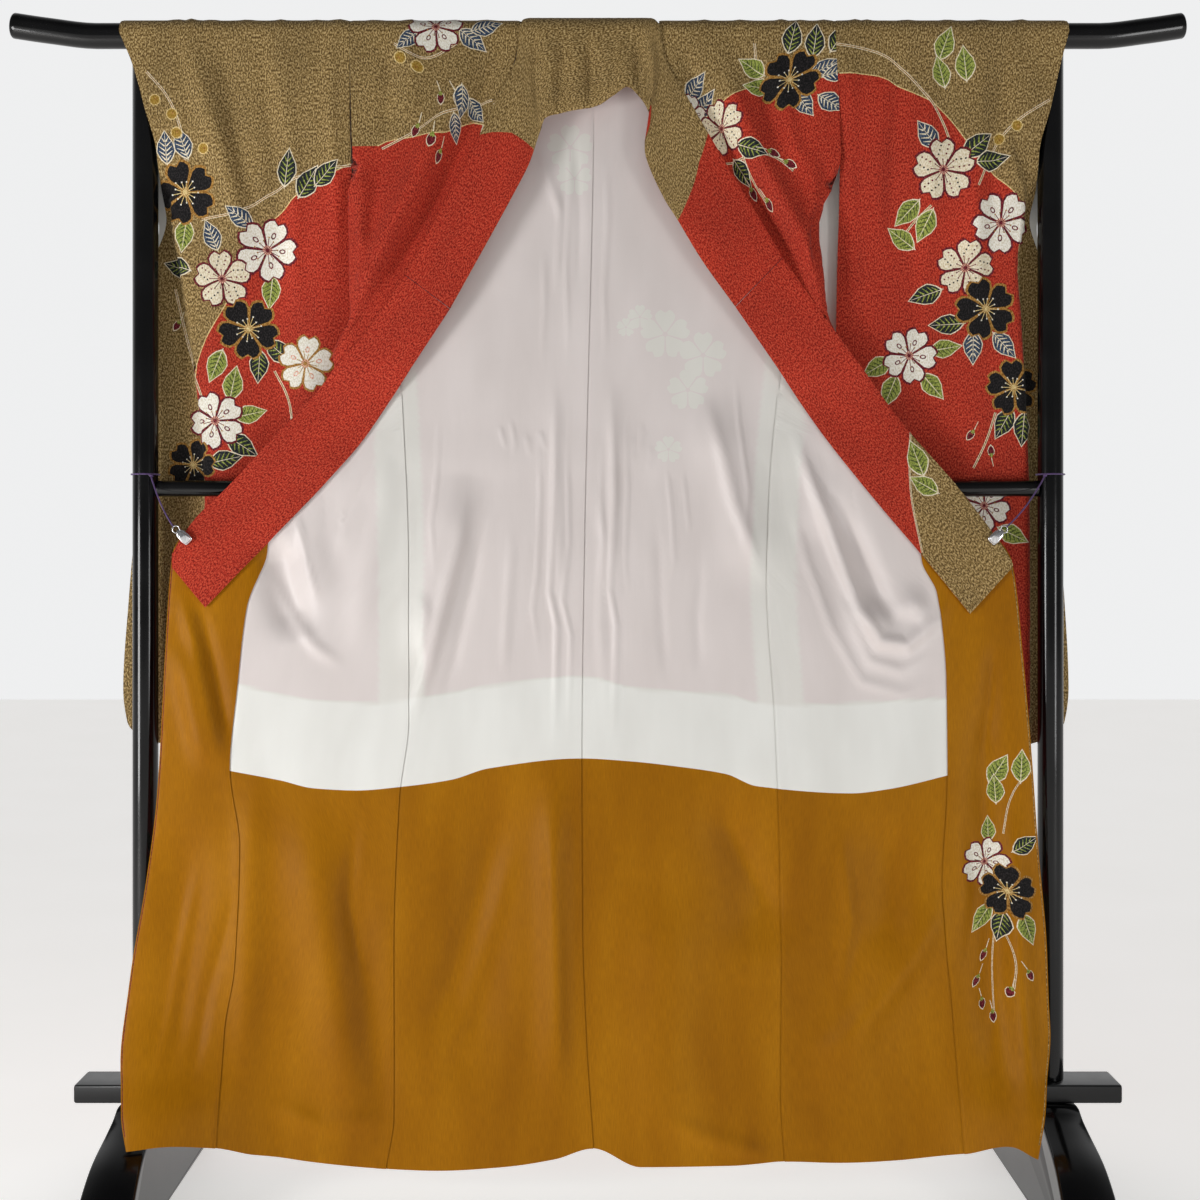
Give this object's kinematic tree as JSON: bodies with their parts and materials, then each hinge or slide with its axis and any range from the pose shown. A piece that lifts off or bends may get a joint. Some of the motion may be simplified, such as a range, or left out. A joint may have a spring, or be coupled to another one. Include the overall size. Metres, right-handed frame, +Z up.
{
  "type": "furisode kimono on a kimono stand",
  "caption": "Long-sleeved silk kimono with printed crepe, ivory lining and ochre hem lining, hung open on a black lacquer stand.",
  "frame": {"origin": "on the floor, midway between the posts", "axes": "+Z up, the front of the kimono faces -Y, +X to the right seen from the front"},
  "size_m": [1.6772, 0.444, 1.6898],
  "materials": {
    "crepe": "red silk crepe with olive clouds and printed cherry blossom",
    "lining": "ivory plain silk lining",
    "hem_lining": "ochre silk satin hem lining",
    "lacquer": "gloss black lacquer",
    "clip_steel": "bright plated steel",
    "tie_cord": "thin purple silk cord"
  },
  "bodies": {
    "root": {"rod": "lacquer", "post_left": "lacquer", "post_right": "lacquer", "mid_rail": "lacquer", "beam": "lacquer", "foot_left": "lacquer", "foot_right": "lacquer", "back_left": "crepe", "lining_back_left": "lining", "hem_lining_back_left": "hem_lining", "back_right": "crepe", "lining_back_right": "lining", "hem_lining_back_right": "hem_lining", "front_left": "crepe", "lining_front_left": "lining", "hem_lining_front_left": "hem_lining", "front_right": "crepe", "lining_front_right": "lining", "hem_lining_front_right": "hem_lining", "okumi_left": "crepe", "hem_lining_okumi_left": "hem_lining", "okumi_right": "crepe", "hem_lining_okumi_right": "hem_lining", "sleeve_left": "crepe", "sleeve_right": "crepe", "over_collar": "crepe", "collar_end_left": "crepe", "collar_end_right": "crepe", "clip_left": "clip_steel", "tie_left": "tie_cord", "tie_loop_left": "tie_cord", "clip_right": "clip_steel", "tie_right": "tie_cord", "tie_loop_right": "tie_cord"}
  },
  "joints": []
}
